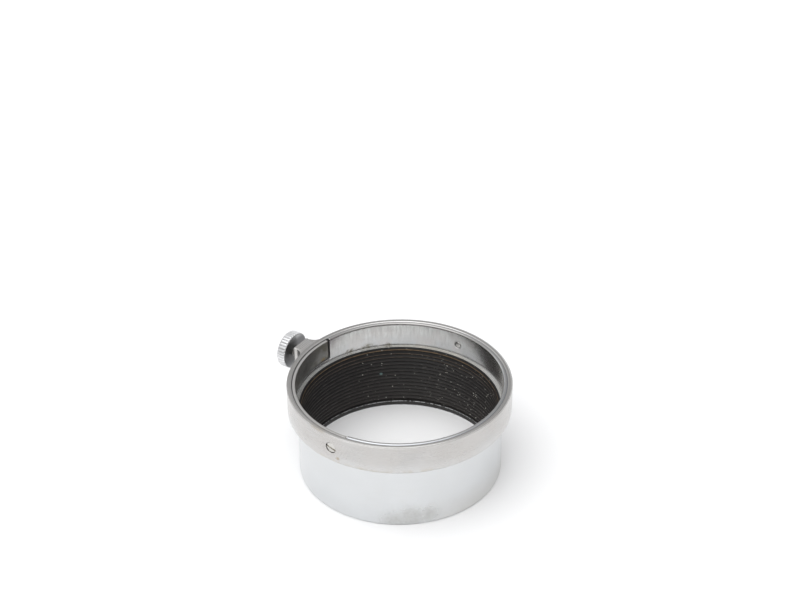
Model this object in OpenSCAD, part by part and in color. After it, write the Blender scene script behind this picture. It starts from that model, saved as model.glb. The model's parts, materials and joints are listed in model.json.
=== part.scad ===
// Clamp-on lens hood for a 36 mm lens rim.
// +Z runs along the optical axis, from the front rim towards the lens. Z = 0 is the seat that the
// lens's front rim comes up against. +X runs along the clamp screw, from the bore outwards.

/* [Socket] */
// Bore that slips over the lens's front rim
socket_d = 36.2; // [35.8:0.1:36.4]
// Depth from the rim of the socket down to its seat
socket_depth = 4.8; // [4.4:0.1:6]
// Thickness of the socket's wall, inside the collar
socket_wall = 0.65; // [0.55:0.05:0.7]
// Bevel on the inner edge of the socket's mouth
mouth_bevel = 0.3; // [0.1:0.05:0.4]

/* [Barrel] */
// Outside of the barrel, which also takes a push-on cap
barrel_d = 36; // [35.6:0.1:36.2]
// Length of the barrel below the seat
barrel_h = 12.8; // [12.6:0.1:16]
// Wall of the barrel around the baffle sleeve
barrel_wall = 0.32; // [0.25:0.01:0.35]
// Clear opening inside the front lip
lip_d = 34.3; // [33.5:0.1:34.4]
// Height of the front lip
lip_h = 0.93; // [0.6:0.01:1]
// Round on the outer edge of the front rim
rim_round = 0.3; // [0.1:0.05:0.4]

/* [Baffle sleeve] */
// Number of light-trapping ribs
rib_count = 14; // [8:1:14]
// Distance from one rib to the next
rib_pitch = 0.76; // [0.6:0.01:0.76]
// Bore over the crests of the ribs
crest_d = 34.5; // [34.4:0.05:34.7]
// Bore at the bottom of the grooves
root_d = 34.96; // [34.8:0.02:35]
// Width of the flat on each crest
crest_flat = 0.12; // [0.05:0.01:0.25]

/* [Collar] */
// Outside of the clamp collar
collar_d = 39.3; // [39:0.1:41]
// Height of the clamp collar
collar_h = 5.4; // [5.2:0.1:6.4]
// Bevel on the collar's top outer edge
collar_bevel = 0.2; // [0.1:0.05:0.4]
// Round on the collar's bottom outer edge
collar_round = 0.4; // [0.1:0.05:0.5]

/* [Screw boss] */
// Distance from the optical axis to the end face of the boss
boss_reach = 21.7; // [21:0.1:23]
// Width of the boss at its end
boss_w = 3.84; // [3.2:0.02:5]
// Radius of the hollow flare from the boss into the collar
flare_r = 1.94; // [1:0.02:3]
// How far the top of the boss lies below the rim
boss_drop = 0.15; // [0.1:0.05:0.5]

/* [Clamp spring] */
// Thickness of the leaf
leaf_t = 0.5; // [0.4:0.05:0.5]
// Where the leaf's free end is, in degrees from the clamp screw
leaf_free_end = -10.3; // [-14:0.1:-9]
// Where the leaf's fixed end is, in degrees from the clamp screw
leaf_fixed_end = 95.4; // [93:0.1:110]
// Height of the window's sill above the seat
sill_h = 0.8; // [0.5:0.1:1]

/* [Clamp screw] */
// Height of the clamp screw's axis above the seat
screw_z = 2.5; // [2:0.1:2.6]
// Outside of the knurled head, over the teeth
head_d = 6.76; // [6.5:0.02:6.76]
// Thickness of the knurled head
head_t = 1.8; // [1.5:0.05:3]
// Number of knurl teeth
knurl_count = 36; // [24:1:48]
// Depth of the knurl
knurl_depth = 0.2; // [0.1:0.01:0.25]
// How far the screw travels inwards to clamp a lens
clamp_travel = 0.4; // [0.2:0.05:1]
// Gap left between the head and the boss with the screw all the way in
head_gap = 0.75; // [0.05:0.05:1]
// Outside of the screw's thread
thread_d = 2; // [1.6:0.1:2.4]
// Pitch of the screw's thread
thread_pitch = 0.4; // [0.3:0.05:0.5]

/* [Small screws] */
// Where the small screws lie, in degrees from the clamp screw, and half a turn from that
small_screw_at = 88.5; // [86:0.5:90]
// Height of the small screws above the seat
small_screw_z = 2.2; // [2:0.1:2.4]
// Outside of the small screws' heads
small_head_d = 1.9; // [1.6:0.1:2.4]
// Outside of the small screws' shanks
small_shank_d = 1.2; // [0.9:0.1:1.3]
// Tilt of the small screws' slots from upright, in degrees
slot_tilt = 75; // [0:5:90]

/* [Hidden] */

$fn = 96;
cut = 1;                 // how far a cutting shape runs past what it cuts
slip = 0.02;             // gap between pieces that are fitted together
run = 0.04;              // gap round the turning screw

socket_r = socket_d / 2;
cup_r = socket_r + socket_wall;
barrel_r = barrel_d / 2;
collar_r = collar_d / 2;
collar_bore_r = cup_r + slip;
collar_z = socket_depth - collar_h;
cup_step_z = collar_z + 0.15;

sleeve_seat_r = barrel_r - barrel_wall;
sleeve_r = sleeve_seat_r - slip;
sleeve_low_z = lip_h - barrel_h;
sleeve_top_z = -0.05;
sleeve_edge_z = -0.5;
first_crest_z = -1.3;

leaf_gap = 0.1;          // gap between the leaf and the collar's bore
leaf_out_r = collar_bore_r - leaf_gap;
leaf_in_r = leaf_out_r - leaf_t;
leaf_low_z = sill_h + 0.15;
leaf_top_z = socket_depth - 0.2;
window_gap = 1.2;        // degrees between the leaf's ends and the window's

tip_x = leaf_out_r + 0.03;
head_x = boss_reach + clamp_travel + head_gap;
head_end_x = head_x + head_t;
neck_x = head_x - 0.15;
stem_r = 0.8;
groove_depth = 0.22;
groove_count = floor((neck_x - tip_x - 0.5) / thread_pitch);

small_head_t = 0.4;
small_head_r = small_head_d / 2;
small_head_out = collar_r - 0.06;

// Points along a quarter round, from angle a to angle b, about [x, y]
function quarter(x, y, r, a, b, n = 6) = [for (i = [0:n])
    [x + r * cos(a + (b - a) * i / n), y + r * sin(a + (b - a) * i / n)]];

// A band round the optical axis: from angle a to b, radius r1 to r2, height z1 to z2
module band(a, b, r1, r2, z1, z2) {
    rotate([0, 0, a])
        rotate_extrude(angle = b - a, $fn = 180)
            translate([r1, z1])
                square([r2 - r1, z2 - z1]);
}

// A rod square to the optical axis: at angle a and height z, from radius r1 to r2
module radial_rod(a, z, r1, r2, rod_r) {
    rotate([0, 0, a])
        translate([r1, 0, z])
            rotate([0, 90, 0])
                cylinder(h = r2 - r1, r = rod_r, $fn = 48);
}

// Turned tube with the wider socket at its top and a lip inside its front rim
module hood_barrel() {
    color("silver")
        difference() {
            rotate_extrude($fn = 180)
                polygon(concat(
                    [[lip_d / 2, -barrel_h]],
                    quarter(barrel_r - rim_round, rim_round - barrel_h, rim_round, -90, 0),
                    [[barrel_r, cup_step_z],
                     [cup_r, cup_step_z],
                     [cup_r, socket_depth],
                     [socket_r + mouth_bevel, socket_depth],
                     [socket_r, socket_depth - mouth_bevel],
                     [socket_r, 0],
                     [sleeve_seat_r, 0],
                     [sleeve_seat_r, sleeve_low_z],
                     [lip_d / 2, sleeve_low_z]]));
            band(leaf_free_end - window_gap, leaf_fixed_end + window_gap,
                 socket_r - cut, cup_r + cut, sill_h, socket_depth + cut);
            radial_rod(small_screw_at + 180, small_screw_z, socket_r - cut, cup_r + cut,
                       small_shank_d / 2 + slip);
        }
}

// Ribbed light-trapping liner that stands on the front lip
module baffle_sleeve() {
    crest_r = crest_d / 2;
    root_r = root_d / 2;
    color([0.09, 0.085, 0.085])
        rotate_extrude($fn = 180)
            polygon(concat(
                [[sleeve_r, sleeve_low_z + slip],
                 [sleeve_r, sleeve_top_z],
                 [root_r + 0.02, sleeve_top_z],
                 [crest_r + 0.05, sleeve_edge_z],
                 [root_r, sleeve_edge_z - 0.25]],
                [for (i = [0:rib_count - 1], p = [
                    [crest_r, crest_flat / 2],
                    [crest_r, -crest_flat / 2],
                    [root_r, -rib_pitch / 2]])
                    [p[0], first_crest_z - i * rib_pitch + p[1]]],
                [[root_r, sleeve_low_z + slip]]));
}

// Outline of the boss, seen along the optical axis
module boss_outline() {
    half_w = boss_w / 2;
    flare_y = half_w + flare_r;
    flare_x = sqrt(pow(collar_r + flare_r, 2) - pow(flare_y, 2));
    touch_x = flare_x * collar_r / (collar_r + flare_r);
    touch_y = flare_y * collar_r / (collar_r + flare_r);
    root_x = collar_bore_r + 0.4;
    translate([root_x, -half_w])
        square([boss_reach - root_x, boss_w]);
    difference() {
        polygon([[root_x, -touch_y], [touch_x, -touch_y], [flare_x, -half_w],
                 [flare_x, half_w], [touch_x, touch_y], [root_x, touch_y]]);
        for (side = [-1, 1])
            translate([flare_x, side * flare_y])
                circle(r = flare_r);
    }
}

// Outer clamp ring, in one piece with the boss that the clamp screw is threaded into
module clamp_collar() {
    color("gainsboro")
        difference() {
            union() {
                rotate_extrude($fn = 180)
                    polygon(concat(
                        [[collar_bore_r, socket_depth],
                         [collar_bore_r, collar_z]],
                        quarter(collar_r - collar_round, collar_z + collar_round,
                                collar_round, -90, 0),
                        [[collar_r, socket_depth - collar_bevel],
                         [collar_r - collar_bevel, socket_depth]]));
                translate([0, 0, collar_z])
                    linear_extrude(collar_h - boss_drop)
                        boss_outline();
            }
            radial_rod(0, screw_z, collar_bore_r - cut, boss_reach + cut, thread_d / 2 + run);
            for (a = [small_screw_at, small_screw_at + 180]) {
                radial_rod(a, small_screw_z, collar_bore_r - cut, collar_r + cut,
                           small_shank_d / 2 + slip);
                radial_rod(a, small_screw_z, small_head_out - small_head_t - slip,
                           collar_r + cut, small_head_r + slip);
            }
        }
}

// Curved leaf that the clamp screw presses against the lens's rim
module clamp_spring() {
    color([0.42, 0.42, 0.4])
        difference() {
            band(leaf_free_end, leaf_fixed_end, leaf_in_r, leaf_out_r, leaf_low_z, leaf_top_z);
            radial_rod(small_screw_at, small_screw_z, leaf_in_r - cut, leaf_out_r + cut,
                       small_shank_d / 2 + slip);
        }
}

// Threaded spindle, with a stem that goes through the knurled head
module clamp_screw_spindle() {
    thread_r = thread_d / 2;
    groove_start = tip_x + 0.35;
    color("dimgray")
        translate([0, 0, screw_z])
            rotate([0, 90, 0])
                rotate_extrude()
                    polygon(concat(
                        [[0, tip_x],
                         [thread_r - 0.3, tip_x],
                         [thread_r, tip_x + 0.3]],
                        [for (i = [0:groove_count - 1], p = [
                            [thread_r, 0.04],
                            [thread_r - groove_depth, thread_pitch / 2],
                            [thread_r, thread_pitch - 0.04]])
                            [p[0], groove_start + i * thread_pitch + p[1]]],
                        [[thread_r, head_x],
                         [stem_r, head_x],
                         [stem_r, head_end_x],
                         [0, head_end_x]]));
}

// Head with straight knurling, fixed on the spindle's stem
module knurled_screw_head() {
    head_r = head_d / 2;
    color("whitesmoke")
        translate([head_x, 0, screw_z])
            rotate([0, 90, 0])
                difference() {
                    intersection() {
                        linear_extrude(head_t)
                            polygon([for (i = [0:2 * knurl_count - 1])
                                let (r = i % 2 == 0 ? head_r : head_r - knurl_depth,
                                     a = 180 * i / knurl_count)
                                [r * cos(a), r * sin(a)]]);
                        rotate_extrude()
                            polygon([[0, 0],
                                     [head_r - 0.1, 0],
                                     [head_r, 0.1],
                                     [head_r, head_t - 0.25],
                                     [head_r - 0.25, head_t],
                                     [0, head_t]]);
                    }
                    translate([0, 0, -cut])
                        cylinder(h = head_t + 2 * cut, r = stem_r + slip);
                }
}

// Small slotted screw pointing at the optical axis, its tip at radius tip_r
module small_screw(a, tip_r) {
    slot_w = 0.35;
    slot_depth = 0.2;
    difference() {
        union() {
            radial_rod(a, small_screw_z, tip_r, small_head_out - small_head_t / 2,
                       small_shank_d / 2);
            radial_rod(a, small_screw_z, small_head_out - small_head_t, small_head_out,
                       small_head_r);
        }
        rotate([0, 0, a])
            translate([small_head_out - slot_depth, 0, small_screw_z])
                rotate([slot_tilt, 0, 0])
                    translate([0, -slot_w / 2, -small_head_d])
                        cube([cut, slot_w, 2 * small_head_d]);
    }
}

// Screw that holds the leaf's fixed end to the collar
module spring_screw() {
    color("lightgray")
        small_screw(small_screw_at, leaf_in_r + slip);
}

// Screw that holds the collar to the barrel's socket
module collar_screw() {
    color("lightgray")
        small_screw(small_screw_at + 180, socket_r + slip);
}

hood_barrel();
baffle_sleeve();
clamp_collar();
clamp_spring();
clamp_screw_spindle();
knurled_screw_head();
spring_screw();
collar_screw();
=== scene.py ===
"""Looks of a clamp-on lens hood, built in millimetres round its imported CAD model."""
import json
import math

import bmesh
import bpy
import numpy as np
from mathutils import Matrix, Vector


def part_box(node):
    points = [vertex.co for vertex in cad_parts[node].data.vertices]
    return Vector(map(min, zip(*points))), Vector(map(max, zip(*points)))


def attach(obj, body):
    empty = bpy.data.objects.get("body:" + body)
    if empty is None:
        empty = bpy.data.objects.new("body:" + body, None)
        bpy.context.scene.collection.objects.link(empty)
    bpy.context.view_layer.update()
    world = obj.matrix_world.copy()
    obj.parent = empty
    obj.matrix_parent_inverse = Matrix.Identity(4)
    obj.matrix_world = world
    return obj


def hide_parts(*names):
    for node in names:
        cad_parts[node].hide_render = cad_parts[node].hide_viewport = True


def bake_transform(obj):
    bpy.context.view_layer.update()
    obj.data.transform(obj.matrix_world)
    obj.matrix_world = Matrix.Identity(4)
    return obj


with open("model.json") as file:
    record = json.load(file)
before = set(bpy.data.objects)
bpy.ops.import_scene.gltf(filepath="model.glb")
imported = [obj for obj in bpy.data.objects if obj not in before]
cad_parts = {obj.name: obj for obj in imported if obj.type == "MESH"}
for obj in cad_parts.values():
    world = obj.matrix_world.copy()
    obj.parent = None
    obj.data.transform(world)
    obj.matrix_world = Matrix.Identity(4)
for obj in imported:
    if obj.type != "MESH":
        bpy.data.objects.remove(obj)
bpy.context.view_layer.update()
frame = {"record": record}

MM = 0.001


def node_box(node):
    """Lowest and highest corner of a CAD node, in millimetres."""
    low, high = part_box(node)
    return low / MM, high / MM


def mount_radius(name):
    """Radius of one of the record's mounts, in millimetres."""
    mounts = {m["name"]: m for m in frame["record"]["mounts"]}
    return mounts[name]["dims"]["r_mm"]


# Sizes taken from the CAD model, in millimetres
BARREL_LOW, BARREL_HIGH = node_box("hood_barrel")
COLLAR_LOW, COLLAR_HIGH = node_box("clamp_collar")
SLEEVE_LOW, SLEEVE_HIGH = node_box("baffle_sleeve")
LEAF_LOW, LEAF_HIGH = node_box("clamp_spring")
SPINDLE_LOW, SPINDLE_HIGH = node_box("clamp_screw_spindle")
HEAD_LOW, HEAD_HIGH = node_box("knurled_screw_head")
COLLAR_SCREW_LOW, COLLAR_SCREW_HIGH = node_box("collar_screw")

FRONT_Z = BARREL_LOW.z
RIM_Z = BARREL_HIGH.z
CUP_R = BARREL_HIGH.y
SOCKET_R = mount_radius("clamp_socket")
BARREL_R = mount_radius("front_cap_rim")
COLLAR_R = COLLAR_HIGH.y
COLLAR_Z = COLLAR_LOW.z
BOSS_X = COLLAR_HIGH.x
SLEEVE_R = SLEEVE_HIGH.y
LEAF_R = LEAF_HIGH.y
HEAD_R = (HEAD_HIGH.y - HEAD_LOW.y) / 2
SCREW_Z = (HEAD_HIGH.z + HEAD_LOW.z) / 2
SMALL_SCREW_Z = (COLLAR_SCREW_HIGH.z + COLLAR_SCREW_LOW.z) / 2

# Sizes that the boxes don't give, the same as in the CAD model, in millimetres
FIT_GAP = 0.02
LIP_R = 17.15
LIP_TOP_Z = SLEEVE_LOW.z - FIT_GAP
CUP_STEP_Z = COLLAR_Z + 0.15
MOUTH_ROUND = 0.3
RIM_ROUND = 0.3
CREST_R = 17.25
ROOT_R = 17.48
RIB_COUNT = 14
RIB_PITCH = 0.76
FIRST_CREST_Z = -1.3
SLEEVE_EDGE_Z = -0.5
COLLAR_ROUND = 0.4
BOSS_HALF = 1.92
BOSS_TOP_Z = RIM_Z - 0.15
FLARE_R = 1.94
LEAF_T = 0.5
SILL_Z = LEAF_LOW.z - 0.15
THREAD_R = 1.0
THREAD_PITCH = 0.4
STEM_R = 0.8
SCREW_HOLE_R = THREAD_R + 0.04
SMALL_SHANK_R = 0.6
SMALL_HEAD_R = 0.95
SMALL_HEAD_T = 0.4
SMALL_HEAD_SINK = 0.06
SLOT_HALF = 0.175
SLOT_DEPTH = 0.2
TIP_HOLE_GAP = 0.08
THREAD_DEPTH = 0.22
POINT_LENGTH = 0.3
POINT_TAPER = 0.9
KNURL_TEETH = 36
KNURL_DEPTH = 0.2
DISH_INSET = 1.15
BOSS_CORNER = 0.16
FLOOR_REACH = 1200

# Angles round the optical axis, counted from the clamp screw, in degrees
SMALL_SCREW_AT = 88.5
COLLAR_SCREW_AT = SMALL_SCREW_AT + 180
SLOT_TILT = 75
LEAF_ENDS = (-10.3, 95.4)
WINDOW_ENDS = (-11.5, 96.6)
SHOWN_SIDE = 125.0
FAR_SIDE = -55.0

NICK_AT = 92.6

# Camera of the main view: angles in radians, place in millimetres
HEADING = math.radians(-144.98)
LENS_MM = 76.54
CAMERA_AT = (-136.14, 196.0, 170.41)
CAMERA_PITCH = 0.5555
CAMERA_ROLL = -0.015

# Colours, linear. A pair is the light and the dull parts of one finish.
CHROME = (0.535, 0.555, 0.587), (0.482, 0.5, 0.53)
# Painted shade on the barrel under the collar.
CHROME_PAINTED_SHADE = (0.445, 0.46, 0.485)
CHROME_WARM = (0.5, 0.484, 0.465)
# Painted shade on the cup's flat top.
RIM_PAINTED_SHADE = (0.42, 0.415, 0.41)
SCUFF_GREY = (0.46, 0.46, 0.46)
SMUDGE_GREY = (0.24, 0.24, 0.235)
ROSY = (0.72, 0.69, 0.675)
OLIVE = (0.3, 0.27, 0.2)
PLUM = (0.5, 0.44, 0.46)
LIP_BLACK = (0.03, 0.028, 0.027)
NICKEL = (0.552, 0.545, 0.537), (0.503, 0.494, 0.484)
# Painted light from the floor on the collar's lower part.
PAINTED_FLOOR_LIGHT = (0.66, 0.662, 0.664)
# Painted highlight along the collar's far edge.
PAINTED_EDGE_HIGHLIGHT = (0.97, 0.965, 0.955)
TARNISH = (0.5, 0.455, 0.37)
NICK_BROWN = (0.36, 0.28, 0.18)
STAIN_BROWN = (0.4, 0.35, 0.27)
PAINT_FRONT_TONE = (0.016, 0.0142, 0.0135), (0.027, 0.024, 0.0225)
PAINT_SEAT_TONE = (0.009, 0.008, 0.0078), (0.017, 0.015, 0.0145)
BRASS = (0.3, 0.21, 0.125)
DUST = (0.36, 0.41, 0.41), (0.55, 0.48, 0.4)
FLECK_BLUE = (0.24, 0.38, 0.37)
SPRING = (0.44, 0.44, 0.43), (0.36, 0.35, 0.33)
LEAF_BROWN = (0.2, 0.175, 0.125)
LEAF_GOLD = (0.42, 0.31, 0.16)
STEEL = (0.4, 0.4, 0.4), (0.3, 0.29, 0.28)
OIL_BROWN = (0.16, 0.13, 0.1)
HEAD_CHROME = (0.68, 0.68, 0.685), (0.62, 0.62, 0.63)
SCREW_NICKEL = (0.64, 0.632, 0.61), (0.56, 0.545, 0.515)
SLOT_BROWN = (0.2, 0.17, 0.13)

SEGMENTS = 288


# ---------------------------------------------------------------- mesh helpers


def make_object(name, verts, faces):
    """A mesh object from points in millimetres."""
    mesh = bpy.data.meshes.new(name)
    mesh.from_pydata([tuple(float(c) * MM for c in v) for v in verts], [], faces)
    obj = bpy.data.objects.new(name, mesh)
    bpy.context.scene.collection.objects.link(obj)
    tidy_mesh(obj)
    return obj


def tidy_mesh(obj, merge=0.002):
    """Merges points that coincide and turns every face outwards."""
    bm = bmesh.new()
    bm.from_mesh(obj.data)
    bmesh.ops.remove_doubles(bm, verts=bm.verts, dist=merge * MM)
    bmesh.ops.dissolve_degenerate(bm, edges=bm.edges, dist=merge * MM / 2)
    bmesh.ops.recalc_face_normals(bm, faces=bm.faces)
    bm.to_mesh(obj.data)
    bm.free()


def grid_faces(rings, around, closed_rings, closed_around):
    """Quads of a grid of rings x around points."""
    faces = []
    for i in range(rings if closed_rings else rings - 1):
        for j in range(around if closed_around else around - 1):
            i2 = (i + 1) % rings
            j2 = (j + 1) % around
            faces.append((i * around + j, i * around + j2, i2 * around + j2, i2 * around + j))
    return faces


def fillet(corners, steps=5):
    """Closed outline from corners (x, y, radius), each rounded by its radius."""
    points = []
    count = len(corners)
    for i, (x, y, radius) in enumerate(corners):
        corner = Vector((x, y))
        before = Vector(corners[i - 1][:2]) - corner
        after = Vector(corners[(i + 1) % count][:2]) - corner
        before.normalize()
        after.normalize()
        half = before.angle(after) / 2
        if radius <= 0 or half > math.radians(89):
            points.append((x, y))
            continue
        middle = (before + after).normalized()
        centre = corner + middle * (radius / math.sin(half))
        start = corner + before * (radius / math.tan(half)) - centre
        end = corner + after * (radius / math.tan(half)) - centre
        swing = math.pi - 2 * half
        for k in range(steps + 1):
            share = k / steps
            a = math.sin((1 - share) * swing) / math.sin(swing)
            b = math.sin(share * swing) / math.sin(swing)
            points.append(tuple(centre + start * a + end * b))
    return points


def lathe(name, outline, ends=None, segments=SEGMENTS):
    """Outline (radius, z) turned round the optical axis, all the way or between two angles."""
    low, high = ends or (0, 360)
    closed = ends is None
    count = segments if closed else max(2, round(segments * (high - low) / 360)) + 1
    stop = count if closed else count - 1
    verts = []
    for i in range(count):
        angle = math.radians(low + (high - low) * i / stop)
        verts += [(r * math.cos(angle), r * math.sin(angle), z) for r, z in outline]
    size = len(outline)
    faces = grid_faces(count, size, closed, True)
    if not closed:
        faces += [tuple(range(size)), tuple(range((count - 1) * size, count * size))]
    return make_object(name, verts, faces)


def radial_matrix(angle, z):
    """Turns a piece lathed about Z so that its axis points outwards at that angle and height."""
    turn = Matrix.Rotation(math.radians(angle), 4, "Z") @ Matrix.Rotation(math.pi / 2, 4, "Y")
    return Matrix.Translation((0, 0, z * MM)) @ turn


def radial_lathe(name, outline, angle, z, segments):
    """Outline (radius, distance from the optical axis) turned round a radial axis."""
    obj = lathe(name, outline, segments=segments)
    obj.data.transform(radial_matrix(angle, z))
    return obj


def baked(obj, modifier):
    """Applies the one modifier on an object."""
    evaluated = obj.evaluated_get(bpy.context.evaluated_depsgraph_get())
    mesh = bpy.data.meshes.new_from_object(evaluated)
    obj.modifiers.remove(modifier)
    obj.data = mesh


def cut_away(obj, cutter):
    """Cuts one mesh out of another."""
    modifier = obj.modifiers.new("cut", "BOOLEAN")
    modifier.operation = "DIFFERENCE"
    modifier.solver = "EXACT"
    modifier.object = cutter
    baked(obj, modifier)
    bpy.data.objects.remove(cutter)


def cut_hole(obj, angle, z, radius, r1, r2, edge=0.05, outer_edge=True):
    """Drills a radial hole with slightly broken edges, from distance r1 to r2."""
    outline = [(0, r1 - 1), (radius + edge, r1 - 1), (radius + edge, r1), (radius, r1 + edge)]
    if outer_edge:
        outline += [(radius, r2 - edge), (radius + edge, r2), (radius + edge, r2 + 1), (0, r2 + 1)]
    else:
        outline += [(radius, r2), (0, r2)]
    cut_away(obj, radial_lathe("cutter", outline, angle, z, 64))


def soften_edges(obj, width, keep, angle=50):
    """Rounds the sharp edges that keep(midpoint in mm) accepts."""
    bm = bmesh.new()
    bm.from_mesh(obj.data)
    edges = []
    for edge in bm.edges:
        middle = (edge.verts[0].co + edge.verts[1].co) / 2 / MM
        if edge.is_manifold and edge.calc_face_angle() > math.radians(angle) and keep(middle):
            edges.append(edge)
    bmesh.ops.bevel(bm, geom=edges, offset=width * MM, segments=3, profile=0.5,
                    affect="EDGES", clamp_overlap=True)
    bm.to_mesh(obj.data)
    bm.free()


def finish_piece(obj, body, node, material, sharp=35):
    """Settles a piece's normals and ties it to its body, CAD node and slot."""
    mesh = obj.data
    mesh.shade_smooth()
    mesh.set_sharp_from_angle(angle=math.radians(sharp))
    modifier = obj.modifiers.new("normals", "WEIGHTED_NORMAL")
    modifier.keep_sharp = True
    baked(obj, modifier)
    obj.data.materials.clear()
    obj.data.materials.append(material)
    if body:
        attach(obj, body)
    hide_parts(node)


# ---------------------------------------------------------------- shader helpers


class Shader:
    """One metal or paint, with its nodes wired by short calls. Lengths are in millimetres."""

    def __init__(self, name, metallic, anisotropic=0.0):
        self.material = bpy.data.materials.new(name)
        self.material.use_nodes = True
        self.tree = self.material.node_tree
        self.tree.nodes.clear()
        output = self.tree.nodes.new("ShaderNodeOutputMaterial")
        self.surface = self.tree.nodes.new("ShaderNodeBsdfPrincipled")
        self.tree.links.new(self.surface.outputs["BSDF"], output.inputs["Surface"])
        self.surface.inputs["Metallic"].default_value = metallic
        self.surface.inputs["Anisotropic"].default_value = anisotropic
        coords = self.tree.nodes.new("ShaderNodeTexCoord")
        self.point = self.vector("SCALE", coords.outputs["Object"], scale=1 / MM)
        split = self.tree.nodes.new("ShaderNodeSeparateXYZ")
        self.tree.links.new(self.point, split.inputs[0])
        self.x, self.y, self.z = split.outputs
        self.radius = self.math("SQRT", self.add(self.mul(self.x, self.x), self.mul(self.y, self.y)))
        if anisotropic:
            round_axis = self.vector("CROSS_PRODUCT", (0, 0, 1), self.point)
            normal = self.tree.nodes.new("ShaderNodeNewGeometry").outputs["Normal"]
            across = self.vector("CROSS_PRODUCT", normal, round_axis)
            self.tree.links.new(self.vector("NORMALIZE", across), self.surface.inputs["Tangent"])

    def feed(self, socket, value):
        """Links an output to a socket, or sets a plain value on it."""
        if isinstance(value, bpy.types.NodeSocket):
            self.tree.links.new(value, socket)
        elif value is not None:
            socket.default_value = value

    def vector(self, operation, a, b=None, scale=None):
        """One vector sum on two vectors or outputs."""
        node = self.tree.nodes.new("ShaderNodeVectorMath")
        node.operation = operation
        self.feed(node.inputs[0], a)
        self.feed(node.inputs[1], b)
        if scale is not None:
            self.feed(node.inputs["Scale"], scale)
        return node.outputs["Value" if operation in ("DISTANCE", "LENGTH") else "Vector"]

    def math(self, operation, a, b=None):
        """One sum on two numbers or outputs."""
        node = self.tree.nodes.new("ShaderNodeMath")
        node.operation = operation
        self.feed(node.inputs[0], a)
        self.feed(node.inputs[1], b)
        return node.outputs[0]

    def add(self, a, b):
        return self.math("ADD", a, b)

    def mul(self, a, b):
        return self.math("MULTIPLY", a, b)

    def either(self, *masks):
        """The larger of several masks."""
        total = masks[0]
        for mask in masks[1:]:
            total = self.math("MAXIMUM", total, mask)
        return total

    def step(self, value, low, high, to_low=0.0, to_high=1.0):
        """Smooth step of a value from low to high."""
        node = self.tree.nodes.new("ShaderNodeMapRange")
        node.interpolation_type = "SMOOTHSTEP"
        for socket, given in zip(node.inputs, (value, low, high, to_low, to_high)):
            self.feed(socket, given)
        return node.outputs[0]

    def band(self, value, middle, half, soft):
        """1 within half of middle, 0 beyond half + soft."""
        away = self.math("ABSOLUTE", self.math("SUBTRACT", value, middle))
        return self.step(away, half, half + soft, 1.0, 0.0)

    def stretched(self, sx, sy, sz):
        """The point scaled along each axis, to stretch or flatten a noise."""
        return self.vector("MULTIPLY", self.point, (sx, sy, sz))

    def noise(self, scale, detail=3.0, rough=0.55, where=None, seed=0.0):
        """Cloudy noise from 0 to 1. The seed is its fourth coordinate."""
        node = self.tree.nodes.new("ShaderNodeTexNoise")
        node.noise_dimensions = "4D"
        self.feed(node.inputs["Vector"], where or self.point)
        node.inputs["W"].default_value = seed
        node.inputs["Scale"].default_value = scale
        node.inputs["Detail"].default_value = detail
        node.inputs["Roughness"].default_value = rough
        return node.outputs[0]

    def turned(self, along, across, seed):
        """Noise drawn out along the direction of turning."""
        reach = self.tree.nodes.new("ShaderNodeCombineXYZ")
        self.feed(reach.inputs[0], self.mul(self.x, along))
        self.feed(reach.inputs[1], self.mul(self.y, along))
        self.feed(reach.inputs[2], self.mul(self.add(self.z, self.radius), across))
        return self.noise(1.0, 3.0, 0.6, reach.outputs[0], seed)

    def mix(self, share, a, b):
        """Colour a turned into colour b by a share or a mask."""
        node = self.tree.nodes.new("ShaderNodeMix")
        node.data_type = "RGBA"
        self.feed(node.inputs["Factor"], share)
        self.feed(node.inputs["A"], (*a, 1) if isinstance(a, tuple) else a)
        self.feed(node.inputs["B"], (*b, 1) if isinstance(b, tuple) else b)
        return node.outputs["Result"]

    def tint(self, colour, mask, share, target):
        """A colour moved towards a target by a share, where the mask is."""
        return self.mix(self.mul(mask, share), colour, target)

    def spot(self, angle, radius, z, size, soft, ragged=0.5, seed=0.0, squash=1.0):
        """A soft blot centred on a place given by angle, radius and height."""
        turn = math.radians(angle)
        centre = (radius * math.cos(turn), radius * math.sin(turn), z * squash)
        place = self.stretched(1, 1, squash)
        away = self.vector("DISTANCE", place, centre)
        wander = self.mul(self.math("SUBTRACT", self.noise(1.2, 4, 0.6, seed=seed), 0.5), ragged * 2)
        return self.step(self.add(away, wander), size, size + soft, 1.0, 0.0)

    def specks(self, scale, size, kept, seed):
        """Small dots: one in a share of the cells of a Voronoi pattern."""
        node = self.tree.nodes.new("ShaderNodeTexVoronoi")
        node.voronoi_dimensions = "4D"
        self.feed(node.inputs["Vector"], self.point)
        node.inputs["W"].default_value = seed
        node.inputs["Scale"].default_value = scale
        dot = self.step(node.outputs["Distance"], size * 0.5, size, 1.0, 0.0)
        pick = self.tree.nodes.new("ShaderNodeSeparateColor")
        self.tree.links.new(node.outputs["Color"], pick.inputs[0])
        return self.mul(dot, self.math("LESS_THAN", pick.outputs[0], kept))

    def hairlines(self, tilt, seed, width=0.03):
        """Fine straight scratches that run round the piece, tilted by an angle."""
        around = self.mul(self.around(SHOWN_SIDE), math.cos(math.radians(tilt)) * 0.05)
        lift = self.mul(self.z, math.cos(math.radians(tilt)))
        slope = self.mul(self.around(SHOWN_SIDE), math.sin(math.radians(tilt)))
        place = self.tree.nodes.new("ShaderNodeCombineXYZ")
        self.feed(place.inputs[0], around)
        self.feed(place.inputs[1], self.mul(self.add(lift, slope), 1.1))
        field = self.noise(1.0, 2.0, 0.5, place.outputs[0], seed)
        line = self.band(field, 0.5, width * 0.3, width)
        patchy = self.step(self.noise(0.35, 2, 0.5, seed=seed + 7), 0.5, 0.62)
        return self.mul(line, patchy)

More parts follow.
